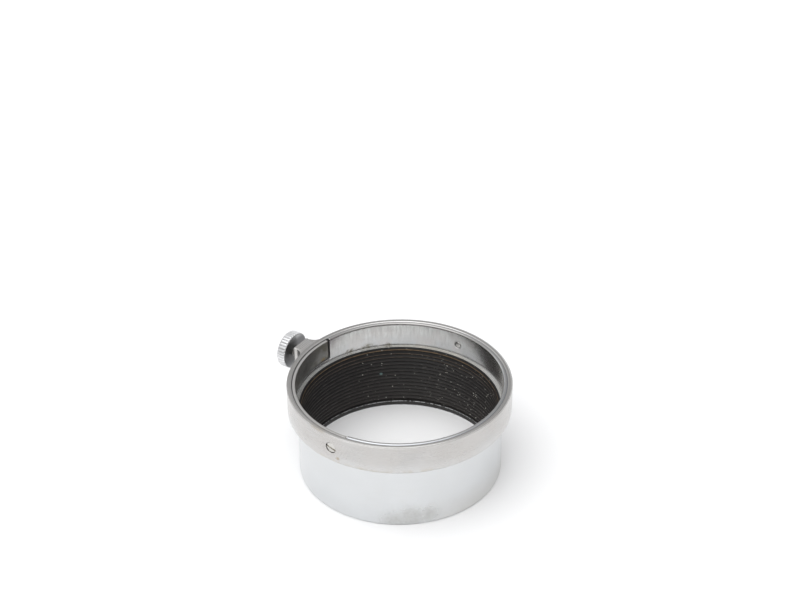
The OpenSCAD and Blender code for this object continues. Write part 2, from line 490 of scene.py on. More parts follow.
    def around(self, middle):
        """Distance round the piece from a direction given in degrees, in millimetres."""
        turn = math.radians(middle)
        ahead = self.add(self.mul(self.x, math.cos(turn)), self.mul(self.y, math.sin(turn)))
        aside = self.add(self.mul(self.x, -math.sin(turn)), self.mul(self.y, math.cos(turn)))
        return self.mul(self.math("ARCTAN2", aside, ahead), self.radius)

    def bump(self, height, depth, strength=1.0):
        """Raises the surface by height x depth millimetres."""
        node = self.tree.nodes.new("ShaderNodeBump")
        node.inputs["Strength"].default_value = strength
        node.inputs["Distance"].default_value = depth * MM
        self.feed(node.inputs["Height"], height)
        self.tree.links.new(node.outputs["Normal"], self.surface.inputs["Normal"])

    def finish(self, colour, roughness, metallic=None):
        """Feeds the surface and hands back the material."""
        self.feed(self.surface.inputs["Base Color"], colour)
        self.feed(self.surface.inputs["Roughness"], roughness)
        self.feed(self.surface.inputs["Metallic"], metallic)
        return self.material


# ---------------------------------------------------------------- materials


def plated_base(s, tones, rough, rough_swing, seed):
    """Shared ground of the plated pieces: cloudy colour, turned streaks and fine grain."""
    light, dull = tones
    cloud = s.noise(scale=0.16, detail=4, rough=0.6, seed=seed)
    streak = s.turned(along=0.12, across=5.0, seed=seed + 1)
    fine = s.turned(along=0.5, across=24.0, seed=seed + 2)
    grain = s.noise(scale=9.0, detail=3, rough=0.6, seed=seed + 3)
    share = s.add(s.mul(cloud, 0.7), s.mul(streak, 0.3))
    colour = s.mix(s.step(share, 0.35, 0.65), light, dull)
    swing = s.add(s.mul(s.math("SUBTRACT", streak, 0.5), 1.2), s.math("SUBTRACT", cloud, 0.5))
    roughness = s.add(s.mul(swing, rough_swing), rough)
    height = s.add(s.mul(fine, 0.5), s.mul(grain, 0.5))
    return colour, roughness, height


def foot_smudge(s):
    """Mask of the grey smudge at the barrel's foot."""
    blots = s.either(
        s.spot(121, BARREL_R, FRONT_Z + 0.6, size=0.6, soft=3.0, ragged=0.7, seed=4.0),
        s.spot(130, BARREL_R, FRONT_Z + 1.4, size=0.9, soft=2.8, ragged=0.7, seed=5.0),
        s.spot(140, BARREL_R, FRONT_Z + 2.0, size=0.1, soft=2.6, ragged=0.7, seed=6.0),
    )
    film = s.step(s.noise(scale=2.0, detail=5, rough=0.65, seed=19.0), 0.3, 0.7, 0.55, 1.0)
    return s.mul(blots, film)


def chrome_outside(s, colour, outside, smudge):
    """The barrel's outside: painted shade growing towards the collar, warmer at the foot, smudged and
    scuffed.
    """
    # Painted shade: the outside darkens towards the collar.
    upper = s.mul(outside, s.step(s.z, FRONT_Z + 4, FRONT_Z + 10, 0.0, 0.5))
    colour = s.mix(upper, colour, CHROME_PAINTED_SHADE)
    foot = s.mul(s.step(s.z, FRONT_Z, FRONT_Z + 6, 1.0, 0.0), outside)
    warm = s.mul(foot, s.step(s.around(SHOWN_SIDE), -4, 16, 0.0, 0.8))
    colour = s.mix(warm, colour, CHROME_WARM)
    colour = s.mix(s.mul(smudge, outside), colour, SMUDGE_GREY)
    lines = s.either(s.hairlines(24, 11.0), s.hairlines(-9, 12.0), s.hairlines(2, 13.0))
    streaks = s.step(s.turned(along=0.35, across=3.0, seed=24.0), 0.58, 0.7)
    patches = s.step(s.noise(scale=0.3, detail=3, rough=0.6, seed=25.0), 0.48, 0.6)
    scuffs = s.mul(streaks, patches)
    return s.tint(colour, s.mul(s.either(lines, scuffs), outside), 0.3, SCUFF_GREY)


def olive_stain(s):
    """Mask of the olive stain low on the socket's wall, on the far side."""
    blots = s.either(
        s.spot(-26, SOCKET_R, 0.2, size=0.2, soft=1.5, ragged=0.9, seed=9.0, squash=1.5),
        s.spot(-37, SOCKET_R, 0.1, size=0.6, soft=1.3, ragged=0.9, seed=10.0, squash=1.5),
        s.spot(-49, SOCKET_R, 0.1, size=0.1, soft=1.1, ragged=0.7, seed=14.0, squash=1.5),
    )
    fleck = s.step(s.noise(scale=1.4, detail=5, rough=0.7, seed=17.0), 0.36, 0.6)
    return s.mul(blots, fleck)


def chrome_socket(s, colour, inside, olive):
    """The socket's wall: light grey with painted light growing towards the mouth, brushed upright, with
    stains, painted shade on the mouth's bevel and a dark line under it.
    """
    wall = s.mul(inside, s.step(s.z, 0.02, 0.1))
    upright = s.stretched(1, 1, 1.6)
    blotch = s.step(s.noise(scale=0.7, detail=5, rough=0.65, where=upright, seed=8.0), 0.5, 0.68)
    colour = s.tint(colour, s.mul(blotch, wall), 0.35, (0.5, 0.5, 0.49))
    # Painted light: the wall's light grey is pushed nearer white towards the mouth, where light falls in.
    lift = s.step(s.z, 0.6, 3.6, 0.45, 1.0)
    colour = s.mix(s.mul(inside, lift), colour, (0.9, 0.908, 0.892))
    brushed = s.stretched(2.4, 2.4, 0.45)
    dashes = s.noise(scale=1.0, detail=4, rough=0.7, where=brushed, seed=20.0)
    colour = s.mix(s.mul(wall, s.step(dashes, 0.4, 0.66, 0.0, 0.75)), colour, (0.6, 0.6, 0.588))
    flush = s.step(s.noise(scale=0.35, detail=3, rough=0.6, seed=22.0), 0.45, 0.62, 0.0, 0.5)
    colour = s.mix(s.mul(wall, flush), colour, ROSY)
    colour = mouth_shade_and_line(s, colour, inside)
    colour = s.tint(colour, s.mul(olive, wall), 0.8, OLIVE)
    plum = s.spot(-14, SOCKET_R, RIM_Z, size=0.6, soft=2.4, ragged=1.2, seed=18.0)
    return s.tint(colour, s.mul(wall, plum), 0.45, PLUM)


def mouth_shade_and_line(s, colour, inside):
    """Painted shade on the mouth's bevel and a dark broken line under it, both on the far side."""
    # Painted shade: the mouth's bevel is darkened on the far side.
    bevel = s.mul(s.step(s.z, RIM_Z - 0.34, RIM_Z - 0.28), s.step(s.radius, SOCKET_R + 0.42, SOCKET_R + 0.34))
    far = s.mul(s.step(s.around(FAR_SIDE), -26, -18), s.step(s.around(FAR_SIDE), 18, 26, 1.0, 0.0))
    colour = s.tint(colour, s.mul(bevel, far), 0.95, (0.32, 0.312, 0.305))
    # A dark, broken line just under the bevel.
    line_breakup = s.step(s.noise(scale=1.5, detail=4, rough=0.65, seed=23.0), 0.38, 0.6, 0.35, 1.0)
    line = s.mul(s.band(s.z, RIM_Z - 0.33, 0.05, 0.05), s.mul(s.mul(inside, far), line_breakup))
    return s.tint(colour, line, 0.8, (0.26, 0.235, 0.225))


def chrome_ledge(s, colour):
    """The seat that the lens comes up against: grimy all round, with painted shade at the far side and a
    painted highlight at the right.
    """
    ledge = s.mul(s.band(s.z, 0, 0.03, 0.03), s.step(s.radius, SLEEVE_R, SLEEVE_R + 0.05))
    grime = s.step(s.noise(scale=1.6, detail=4, rough=0.6, seed=15.0), 0.3, 0.6, 0.35, 1.0)
    colour = s.tint(colour, s.mul(ledge, grime), 0.5, (0.38, 0.355, 0.305))
    # Painted shade: the ledge is darkened at the far side.
    dim = s.mul(ledge, s.band(s.around(FAR_SIDE), -12, 10, 12))
    colour = s.tint(colour, dim, 0.75, (0.22, 0.205, 0.175))
    # Painted highlight: the ledge is lightened to near white at the right.
    rubbed = s.mul(s.step(s.around(-140), -8, 8), s.step(s.around(-104), -8, 8, 1.0, 0.0))
    return s.tint(colour, s.mul(ledge, rubbed), 0.7, (0.86, 0.855, 0.84))


def lip_paint(s):
    """Mask of the black paint on the front lip, chipped along its upper edge."""
    lip = s.mul(s.step(s.radius, LIP_R + 0.6, LIP_R + 0.55), s.step(s.z, LIP_TOP_Z + 0.1, LIP_TOP_Z + 0.05))
    chipped = s.step(s.noise(scale=2.4, detail=3, rough=0.6, seed=16.0), 0.42, 0.55)
    rubbed = s.mul(s.band(s.z, LIP_TOP_Z - 0.03, 0.03, 0.03), s.mul(chipped, 0.7))
    rubbed = s.mul(rubbed, s.step(s.radius, LIP_R + 0.09, LIP_R + 0.05))
    above = s.mul(s.step(s.z, FRONT_Z + 0.08, FRONT_Z + 0.16), s.math("SUBTRACT", 1.0, rubbed))
    return s.mul(lip, above)


def satin_chrome():
    """Satin chrome of the turned barrel, with the wear of each of its surfaces and painted light and shade on
    some of them.
    """
    s = Shader("satin_chrome", 1.0, anisotropic=0.35)
    colour, rough, height = plated_base(s, CHROME, 0.3, 0.08, seed=1.0)
    outside = s.step(s.radius, BARREL_R - 0.2, BARREL_R - 0.05)
    inside = s.step(s.radius, SOCKET_R + 0.2, SOCKET_R + 0.05)
    smudge = foot_smudge(s)
    olive = olive_stain(s)
    colour = chrome_outside(s, colour, outside, smudge)
    colour = chrome_socket(s, colour, inside, olive)
    colour = chrome_ledge(s, colour)
    paint = lip_paint(s)
    colour = s.mix(paint, colour, LIP_BLACK)
    # Painted shade: the cup's flat top is darkened.
    rim = s.mul(s.step(s.z, RIM_Z - 0.05, RIM_Z - 0.01), s.step(s.radius, SOCKET_R + 0.2, SOCKET_R + 0.3))
    colour = s.mix(rim, colour, RIM_PAINTED_SHADE)
    rough = s.add(rough, s.add(s.mul(s.either(smudge, olive), 0.15), s.mul(inside, -0.07)))
    rough = s.add(rough, s.mul(paint, 0.25))
    s.bump(height, 0.004, 0.35)
    return s.finish(colour, rough, s.math("SUBTRACT", 1.0, s.mul(paint, 0.95)))


def collar_wear_and_light(s, colour, outside):
    """The collar's outside: painted floor light low down, tarnished by its lower edge, with a nick and a
    stain.
    """
    # Painted light: the collar is lightened towards its lower edge, as by light from the floor.
    lower = s.mul(outside, s.step(s.z, COLLAR_Z + 0.2, COLLAR_Z + 2.6, 0.6, 0.0))
    colour = s.mix(lower, colour, PAINTED_FLOOR_LIGHT)
    low_edge = s.step(s.z, COLLAR_Z + 0.1, COLLAR_Z + 1.1, 1.0, 0.0)
    ragged = s.step(s.noise(scale=1.1, detail=4, rough=0.6, seed=25.0), 0.42, 0.62)
    tarnish = s.mul(s.mul(low_edge, ragged), s.band(s.around(SHOWN_SIDE), -6, 9, 8))
    colour = s.tint(colour, s.mul(tarnish, outside), 0.6, TARNISH)
    nick = s.spot(NICK_AT, COLLAR_R, COLLAR_Z + 1.15, size=0.12, soft=0.35, ragged=0.3, seed=26.0)
    colour = s.tint(colour, s.mul(nick, outside), 0.75, NICK_BROWN)
    stain = s.spot(80, COLLAR_R, RIM_Z, size=0.7, soft=1.6, ragged=0.8, seed=31.0)
    stain = s.mul(stain, s.step(s.z, RIM_Z - 0.5, RIM_Z - 0.15))
    return s.tint(colour, stain, 0.5, STAIN_BROWN)


def satin_nickel():
    """Warm satin nickel of the collar, with painted shade on its flat top and a painted highlight along the
    far edge.
    """
    s = Shader("satin_nickel", 1.0, anisotropic=0.5)
    colour, rough, height = plated_base(s, NICKEL, 0.27, 0.08, seed=21.0)
    outside = s.step(s.radius, COLLAR_R - 0.15, COLLAR_R - 0.05)
    colour = collar_wear_and_light(s, colour, outside)
    lines = s.either(s.hairlines(1, 27.0), s.hairlines(-3, 28.0), s.hairlines(14, 29.0))
    colour = s.tint(colour, s.mul(lines, outside), 0.16, (0.5, 0.48, 0.46))
    nicks = s.specks(scale=0.9, size=0.13, kept=0.2, seed=30.0)
    colour = s.tint(colour, s.mul(nicks, s.step(s.z, RIM_Z - 0.4, RIM_Z - 0.15)), 0.6, (0.42, 0.38, 0.31))
    # Painted shade: the flat top is darkened.
    top = s.step(s.z, RIM_Z - 0.03, RIM_Z - 0.01)
    colour = s.tint(colour, top, 0.6, (0.42, 0.41, 0.395))
    # Painted highlight: a near-white line along the top's outer edge on the far side.
    edge_highlight = s.mul(s.step(s.radius, COLLAR_R - 0.36, COLLAR_R - 0.28), s.step(s.z, RIM_Z - 0.16, RIM_Z - 0.1))
    far = s.mul(s.step(s.around(-148), -8, 8), s.step(s.around(-20), -12, 0, 1.0, 0.0))
    colour = s.mix(s.mul(edge_highlight, far), colour, PAINTED_EDGE_HIGHLIGHT)
    warmth = s.step(s.noise(scale=0.22, detail=3, rough=0.5, seed=32.0), 0.4, 0.6)
    colour = s.tint(colour, s.mul(warmth, outside), 0.3, (0.56, 0.53, 0.505))
    s.bump(s.math("SUBTRACT", height, s.mul(lines, 0.4)), 0.004, 0.35)
    return s.finish(colour, s.add(rough, s.mul(top, -0.07)))


def rubbed_brass(s):
    """Mask of the bare metal at the sleeve's top edge and on its first ribs."""
    edge = s.band(s.z, SLEEVE_EDGE_Z + 0.03, 0.06, 0.05)
    right = s.step(s.around(-115), -16, 0, 0.15, 1.0)
    first = s.mul(s.band(s.z, FIRST_CREST_Z, 0.02, 0.04), s.mul(right, 0.6))
    second = s.mul(s.band(s.z, FIRST_CREST_Z - RIB_PITCH, 0.02, 0.04), s.mul(right, 0.4))
    worn = s.step(s.noise(scale=1.1, detail=4, rough=0.65, seed=43.0), 0.3, 0.62, 0.25, 1.0)
    return s.mul(s.either(edge, first, second), worn)


def bore_dust(s):
    """Mask of the dust in the bore: a little all round, more in two patches."""
    right_patch = s.spot(-103, ROOT_R, -6.5, size=5, soft=7, ragged=2.5, seed=46.0)
    far_patch = s.spot(-50, ROOT_R, -5, size=4, soft=7, ragged=2, seed=48.0)
    return s.either(
        s.mul(s.specks(scale=1.5, size=0.2, kept=0.25, seed=44.0), 0.35),
        s.mul(s.specks(scale=2.6, size=0.34, kept=0.5, seed=45.0), right_patch),
        s.mul(s.specks(scale=2.2, size=0.28, kept=0.3, seed=47.0), far_patch),
    )


def black_paint():
    """Matt black paint of the ribbed sleeve, lighter on its crests, a painted highlight broken up by wear,
    with dust between them.
    """
    s = Shader("black_paint", 0.0)
    s.surface.inputs["Specular IOR Level"].default_value = 0.32
    cloud = s.noise(scale=0.5, detail=4, rough=0.6, seed=41.0)
    # Darker towards the seat, lighter towards the front end.
    deep = s.step(s.z, FIRST_CREST_Z - 3, FRONT_Z + 2, 1.0, 0.0)
    colour = s.mix(deep, s.mix(cloud, *PAINT_FRONT_TONE), s.mix(cloud, *PAINT_SEAT_TONE))
    rib = s.mul(s.math("SUBTRACT", s.z, FIRST_CREST_Z), 1 / RIB_PITCH)
    near_crest = s.math("ABSOLUTE", s.math("SUBTRACT", rib, s.math("ROUND", rib)))
    crest = s.step(near_crest, 0.06, 0.2, 1.0, 0.0)
    below = s.step(s.z, FIRST_CREST_Z + 0.3, FIRST_CREST_Z + 0.1)
    flat = s.stretched(0.6, 0.6, 2.0)
    rubbed = s.step(s.noise(scale=1.4, detail=4, rough=0.6, where=flat, seed=42.0), 0.42, 0.7)
    # Painted highlight on the rib crests, broken up by rubbed wear.
    crest_sheen_and_wear = s.mul(s.mul(crest, below), s.add(s.mul(rubbed, 0.7), 0.3))
    colour = s.tint(colour, crest_sheen_and_wear, 0.5, (0.085, 0.076, 0.068))
    brass = rubbed_brass(s)
    colour = s.tint(colour, brass, 0.9, BRASS)
    dust = bore_dust(s)
    colour = s.mix(dust, colour, s.mix(s.noise(scale=0.9, detail=1, seed=49.0), *DUST))
    fleck = s.spot(-44, ROOT_R, -5.6, size=0.12, soft=0.32, ragged=0.2, seed=52.0)
    colour = s.tint(colour, fleck, 0.5, FLECK_BLUE)
    rough = s.add(s.mul(s.noise(scale=2.5, detail=4, rough=0.6, seed=50.0), 0.2), 0.4)
    rough = s.add(rough, s.mul(s.either(brass, dust), -0.12))
    grain = s.noise(scale=14.0, detail=3, rough=0.6, seed=51.0)
    s.bump(s.add(grain, s.mul(dust, 3.0)), 0.012, 0.5)
    return s.finish(colour, rough, s.mul(brass, 0.7))


def spring_steel():
    """Dull stained steel of the leaf, brown towards its free end, with painted light on its top face and
    painted shade on its free end.
    """
    s = Shader("spring_steel", 1.0, anisotropic=0.4)
    colour, rough, height = plated_base(s, SPRING, 0.3, 0.12, seed=61.0)
    face_r = LEAF_R - LEAF_T
    # Painted light: the leaf's top face is lightened.
    top = s.step(s.z, LEAF_HIGH.z - 0.1, LEAF_HIGH.z - 0.02)
    colour = s.tint(colour, top, 0.9, (0.58, 0.57, 0.555))
    patches = s.step(s.noise(scale=0.6, detail=5, rough=0.65, seed=65.0), 0.4, 0.62)
    brown = s.mul(patches, s.math("SUBTRACT", 1.0, top))
    ends = s.either(
        s.spot(LEAF_ENDS[0], LEAF_R, 1.6, size=1.6, soft=4.5, ragged=1.4, seed=66.0),
        s.spot(30, LEAF_R, 2.0, size=0.8, soft=3.0, ragged=1.4, seed=67.0),
    )
    colour = s.tint(colour, s.mul(brown, ends), 0.8, LEAF_BROWN)
    colour = s.tint(colour, brown, 0.3, (0.25, 0.26, 0.24))
    face = s.step(s.radius, face_r + 0.08, face_r + 0.02)
    gold = s.spot(-6, face_r, LEAF_LOW.z + 0.2, size=0.1, soft=0.6, ragged=0.4, seed=69.0)
    colour = s.tint(colour, s.mul(gold, face), 0.7, LEAF_GOLD)
    # Painted shade: the free end is darkened.
    end = s.step(s.around(LEAF_ENDS[0]), 0.02, 0.2, 1.0, 0.0)
    colour = s.tint(colour, end, 0.85, (0.1, 0.09, 0.08))
    pits = s.specks(scale=1.8, size=0.13, kept=0.25, seed=68.0)
    colour = s.tint(colour, pits, 0.6, (0.12, 0.1, 0.08))
    s.bump(s.math("SUBTRACT", height, s.mul(pits, 1.5)), 0.006, 0.4)
    return s.finish(colour, s.add(rough, s.mul(brown, 0.12)))


def dark_steel():
    """Machined steel of the spindle, with old oil in its thread."""
    s = Shader("dark_steel", 1.0)
    colour, rough, height = plated_base(s, STEEL, 0.32, 0.1, seed=81.0)
    oil = s.step(s.noise(scale=2.0, detail=4, rough=0.6, seed=85.0), 0.45, 0.65)
    colour = s.tint(colour, oil, 0.6, OIL_BROWN)
    s.bump(height, 0.004, 0.4)
    return s.finish(colour, s.add(rough, s.mul(oil, 0.1)))


def bright_chrome():
    """Bright chrome of the knurled head, darker in patches in the valleys, with a shaded inner face."""
    s = Shader("bright_chrome", 1.0)
    colour, rough, height = plated_base(s, HEAD_CHROME, 0.3, 0.06, seed=101.0)
    rise = s.add(s.z, -SCREW_Z)
    from_axis = s.math("SQRT", s.add(s.mul(s.y, s.y), s.mul(rise, rise)))
    valley = s.step(from_axis, HEAD_R - 0.18, HEAD_R - 0.06, 1.0, 0.0)
    rim = s.step(from_axis, HEAD_R - 0.35, HEAD_R - 0.25)
    patches = s.step(s.noise(scale=1.5, detail=3, rough=0.6, seed=105.0), 0.3, 0.6)
    # Darker in patches in the knurl's valleys.
    valley_darkening = s.mul(s.mul(valley, rim), patches)
    colour = s.tint(colour, valley_darkening, 0.55, (0.36, 0.36, 0.35))
    hub = s.step(from_axis, STEM_R + 0.1, STEM_R + 0.5, 1.0, 0.0)
    colour = s.tint(colour, hub, 0.25, (0.42, 0.4, 0.37))
    inner_face = s.step(s.x, HEAD_LOW.x + 0.08, HEAD_LOW.x + 0.02)
    shaded = s.mul(inner_face, s.band(s.z, SCREW_Z, 1.8, 1.5))
    colour = s.mix(shaded, colour, (0.23, 0.23, 0.235))
    s.bump(height, 0.003, 0.3)
    return s.finish(colour, s.add(rough, s.mul(valley_darkening, 0.2)))


def screw_nickel():
    """Nickel of the two small screws, with grime in their slots."""
    s = Shader("screw_nickel", 1.0)
    colour, rough, height = plated_base(s, SCREW_NICKEL, 0.2, 0.1, seed=121.0)
    slot_floor = s.band(s.radius, COLLAR_R - 0.35, 0.12, 0.06)
    patches = s.step(s.noise(scale=2.2, detail=4, rough=0.6, seed=125.0), 0.35, 0.6)
    grime = s.mul(slot_floor, patches)
    colour = s.tint(colour, grime, 0.7, SLOT_BROWN)
    s.bump(height, 0.003, 0.4)
    return s.finish(colour, s.add(rough, s.mul(grime, 0.2)))


# ---------------------------------------------------------------- pieces


def build_barrel(material):
    """Turned tube: front lip, barrel, step out to the cup, worn rim and ledge."""
    bore = SLEEVE_R + FIT_GAP
    outline = fillet([
        (LIP_R, FRONT_Z, 0.08),
        (BARREL_R, FRONT_Z, RIM_ROUND),
        (BARREL_R, CUP_STEP_Z, 0.06),
        (CUP_R, CUP_STEP_Z, 0.05),
        (CUP_R, RIM_Z - 0.1, 0.03),
        (CUP_R - 0.16, RIM_Z, 0.2),
        (SOCKET_R, RIM_Z, MOUTH_ROUND),
        (SOCKET_R, 0, 0.08),
        (bore, 0, 0.06),
        (bore, LIP_TOP_Z, 0.02),
        (LIP_R, LIP_TOP_Z, 0.07),
    ])
    barrel = lathe("hood_barrel_turned", outline)
    near, far = SOCKET_R - 1, CUP_R + 1
    block = [(near, SILL_Z), (far, SILL_Z), (far, RIM_Z + 1), (near, RIM_Z + 1)]
    cut_away(barrel, lathe("cutter", block, WINDOW_ENDS))
    soften_edges(barrel, 0.04, lambda p: p.z > SILL_Z - 0.1 and p.xy.length > SOCKET_R - 0.1, 60)
    cut_hole(barrel, COLLAR_SCREW_AT, SMALL_SCREW_Z, SMALL_SHANK_R + TIP_HOLE_GAP, SOCKET_R, CUP_R + 0.01)
    finish_piece(barrel, "hood", "hood_barrel", material)


def build_sleeve(material):
    """Ribbed liner with rounded V ribs and a thin rubbed edge at its top."""
    low = SLEEVE_LOW.z
    corners = [
        (SLEEVE_R, low, 0.02),
        (SLEEVE_R, SLEEVE_HIGH.z, 0.04),
        (ROOT_R + 0.02, SLEEVE_HIGH.z, 0.03),
        (CREST_R + 0.05, SLEEVE_EDGE_Z, 0.05),
        (ROOT_R, SLEEVE_EDGE_Z - 0.25, 0.06),
    ]
    for i in range(RIB_COUNT):
        z = FIRST_CREST_Z - i * RIB_PITCH
        corners += [(CREST_R, z + 0.06, 0.04), (CREST_R, z - 0.06, 0.04)]
        corners.append((ROOT_R, z - RIB_PITCH / 2, 0.07))
    corners.append((ROOT_R, low, 0))
    sleeve = lathe("baffle_sleeve_ribbed", fillet(corners, 3))
    finish_piece(sleeve, "hood", "baffle_sleeve", material, sharp=60)


def arc_points(centre, radius, start, end, steps):
    """Points on an arc in plan, with the outline's outward normal at each."""
    sign = 1 if end > start else -1
    found = []
    for k in range(steps + 1):
        angle = start + (end - start) * k / steps
        away = Vector((math.cos(angle), math.sin(angle)))
        found.append((centre + away * radius, away * sign))
    return found


def collar_outline():
    """Plan of the collar from the boss's end round and back: (point, outward normal, share of boss)."""
    flare_y = BOSS_HALF + FLARE_R
    flare_x = math.sqrt((COLLAR_R + FLARE_R) ** 2 - flare_y ** 2)
    touch = math.atan2(flare_y, flare_x)
    flare_steps = 20
    upper = [(Vector((BOSS_X, y)), Vector((1, 0)), 1.0) for y in (0, 0.6, 1.2)]
    middle = Vector((BOSS_X - BOSS_CORNER, BOSS_HALF - BOSS_CORNER))
    upper += [(p, n, 1.0) for p, n in arc_points(middle, BOSS_CORNER, 0, math.pi / 2, 5)]
    flare = Vector((flare_x, flare_y))
    swing = arc_points(flare, FLARE_R, -math.pi / 2, touch - math.pi, flare_steps)
    upper += [(p, n, 1 - k / flare_steps) for k, (p, n) in enumerate(swing)]
    count = round(SEGMENTS * (math.pi - touch) / math.pi)
    ring = arc_points(Vector((0, 0)), COLLAR_R, touch, 2 * math.pi - touch, count)
    whole = upper + [(p, n, 0.0) for p, n in ring[1:-1]]
    whole += [(Vector((p.x, -p.y)), Vector((n.x, -n.y)), s) for p, n, s in reversed(upper[1:])]
    return whole


def collar_section(point, normal, share):
    """One upright section of the collar, from its bore out and back over the top."""
    bore = CUP_R + FIT_GAP
    unit = point.normalized()
    low_round = COLLAR_ROUND + (0.1 - COLLAR_ROUND) * min(1, share * 4)
    bevel = 0.05 + 0.07 * min(1, share * 2)
    top_z = BOSS_TOP_Z
    shoulder = unit * (COLLAR_R - 0.05)
    ring_top = unit * (COLLAR_R - 0.11)
    section = [(unit * bore, COLLAR_Z + 0.06), (unit * (bore + 0.06), COLLAR_Z)]
    for k in range(6):
        angle = math.radians(90 * k / 5)
        inward = low_round * (1 - math.sin(angle))
        section.append((point - normal * inward, COLLAR_Z + low_round * (1 - math.cos(angle))))
    for k in range(4):
        angle = math.radians(90 * k / 3)
        inward = bevel * (1 - math.cos(angle))
        section.append((point - normal * inward, top_z - bevel * (1 - math.sin(angle))))
    edge = (point - normal * bevel).length
    foot = shoulder if edge >= COLLAR_R - 0.05 else unit * edge
    section += [(foot, top_z), (ring_top + unit * 0.02, RIM_Z - 0.03)]
    section.append((ring_top - unit * 0.03, RIM_Z - 0.004))
    section += [(unit * (bore + 0.26), RIM_Z - 0.004), (unit * (bore + 0.17), RIM_Z - 0.015)]
    section += [(unit * (bore + 0.09), RIM_Z - 0.045), (unit * (bore + 0.03), RIM_Z - 0.09)]
    section.append((unit * bore, RIM_Z - 0.15))
    return [(p.x, p.y, z) for p, z in section]


def build_collar(material):
    """Ring with its boss lofted round the plan, then drilled for the three screws."""
    stations = collar_outline()
    sections = [collar_section(*station) for station in stations]
    size = len(sections[0])
    verts = [point for section in sections for point in section]
    collar = make_object("clamp_collar_turned", verts, grid_faces(len(sections), size, True, True))
    inner = CUP_R + FIT_GAP
    cut_hole(collar, 0, SCREW_Z, SCREW_HOLE_R, inner, BOSS_X, 0.08)
    for angle in (SMALL_SCREW_AT, COLLAR_SCREW_AT):
        cut_hole(collar, angle, SMALL_SCREW_Z, SMALL_SHANK_R + FIT_GAP, inner, COLLAR_R)
        seat = COLLAR_R - SMALL_HEAD_SINK - SMALL_HEAD_T - FIT_GAP
        hole = SMALL_HEAD_R + 0.06
        edge = hole + 0.05
        outline = [(0, seat), (hole, seat), (hole, COLLAR_R - 0.05)]
        outline += [(edge, COLLAR_R), (edge, COLLAR_R + 1), (0, COLLAR_R + 1)]
        cut_away(collar, radial_lathe("cutter", outline, angle, SMALL_SCREW_Z, 64))
    finish_piece(collar, "hood", "clamp_collar", material)


def build_leaf(material):
    """Curved spring strip between the spring screw and the clamp screw."""
    inner = LEAF_R - LEAF_T
    outline = fillet([
        (inner, LEAF_LOW.z, 0.05),
        (LEAF_R, LEAF_LOW.z, 0.04),
        (LEAF_R, LEAF_HIGH.z, 0.03),
        (inner, LEAF_HIGH.z, 0.05),
    ], 4)
    leaf = lathe("clamp_spring_leaf", outline, LEAF_ENDS)
    cut_hole(leaf, SMALL_SCREW_AT, SMALL_SCREW_Z, SMALL_SHANK_R + FIT_GAP, inner, LEAF_R + 0.01, 0.04)
    finish_piece(leaf, None, "clamp_spring", material)
    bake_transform(leaf)


def build_spindle(material):
    """Steel spindle with a true helical thread and the stem that the head sits on."""
    around = 64
    rows = [(x, None) for x in np.arange(SPINDLE_LOW.x, HEAD_LOW.x, THREAD_PITCH / 12)]
    rows += [(HEAD_LOW.x, STEM_R), (SPINDLE_HIGH.x - 0.1, STEM_R), (SPINDLE_HIGH.x - 0.03, STEM_R - 0.03)]
    verts = []
    for x, fixed in rows:
        for k in range(around):
            turn = 2 * math.pi * k / around
            if fixed is None:
                phase = (x / THREAD_PITCH + k / around) % 1.0
                dip = max(0.0, 1 - abs(phase - 0.5) / 0.4)
                blunt = max(0.0, SPINDLE_LOW.x + POINT_LENGTH - x) * POINT_TAPER
                radius = min(THREAD_R - THREAD_DEPTH * dip, THREAD_R - blunt)
            else:
                radius = fixed
            verts.append((x, radius * math.cos(turn), SCREW_Z + radius * math.sin(turn)))
    size = len(rows)
    faces = grid_faces(size, around, False, True)
    verts.append((SPINDLE_LOW.x, 0, SCREW_Z))
    verts.append((SPINDLE_HIGH.x, 0, SCREW_Z))
    tip = size * around
    for k in range(around):
        k2 = (k + 1) % around
        faces.append((tip, k, k2))
        faces.append((tip + 1, tip - around + k, tip - around + k2))
    spindle = make_object("clamp_screw_spindle_threaded", verts, faces)
    finish_piece(spindle, "clamp_screw", "clamp_screw_spindle", material, sharp=50)


def knurl_dip(phase):
    """Depth of the knurl, 0 on the crest and 1 in the valley, over one tooth."""
    away = abs(phase % 1.0 - 0.5) * 2
    share = min(1.0, max(0.0, (away - 0.42) / 0.5))
    return share * share * (3 - 2 * share) + 0.12 * away * away * (1 - share)


def build_head(material):
    """Thumb screw head: straight knurl run out over rounded ends, dished outer face."""
    per_tooth = 8
    around = KNURL_TEETH * per_tooth
    thick = HEAD_HIGH.x - HEAD_LOW.x
    dish = HEAD_R - DISH_INSET
    hole = STEM_R + FIT_GAP
    rows = [(0.12, hole), (0.0, hole + 0.1), (0.0, HEAD_R - 0.62), (0.0, HEAD_R - 0.3), (0.02, HEAD_R - 0.2),
            (0.06, HEAD_R - 0.12), (0.12, HEAD_R - 0.05), (0.2, HEAD_R), (0.3, HEAD_R),
            (thick - 0.45, HEAD_R), (thick - 0.32, HEAD_R), (thick - 0.24, HEAD_R - 0.04),
            (thick - 0.16, HEAD_R - 0.1), (thick - 0.09, HEAD_R - 0.18), (thick - 0.03, HEAD_R - 0.28),
            (thick, HEAD_R - 0.4), (thick, HEAD_R - 0.6), (thick - 0.02, dish + 0.2), (thick - 0.1, dish),
            (thick - 0.14, dish - 0.2), (thick - 0.14, hole + 0.08), (thick - 0.22, hole)]
    verts = []
    for x, reach in rows:
        for k in range(around):
            turn = 2 * math.pi * k / around
            knurl = HEAD_R - KNURL_DEPTH * knurl_dip(k / per_tooth)
            radius = min(reach, knurl)
            verts.append((HEAD_LOW.x + x, radius * math.cos(turn), SCREW_Z + radius * math.sin(turn)))
    faces = grid_faces(len(rows), around, True, True)
    head = make_object("knurled_screw_head_turned", verts, faces)
    finish_piece(head, "clamp_screw", "knurled_screw_head", material, sharp=45)


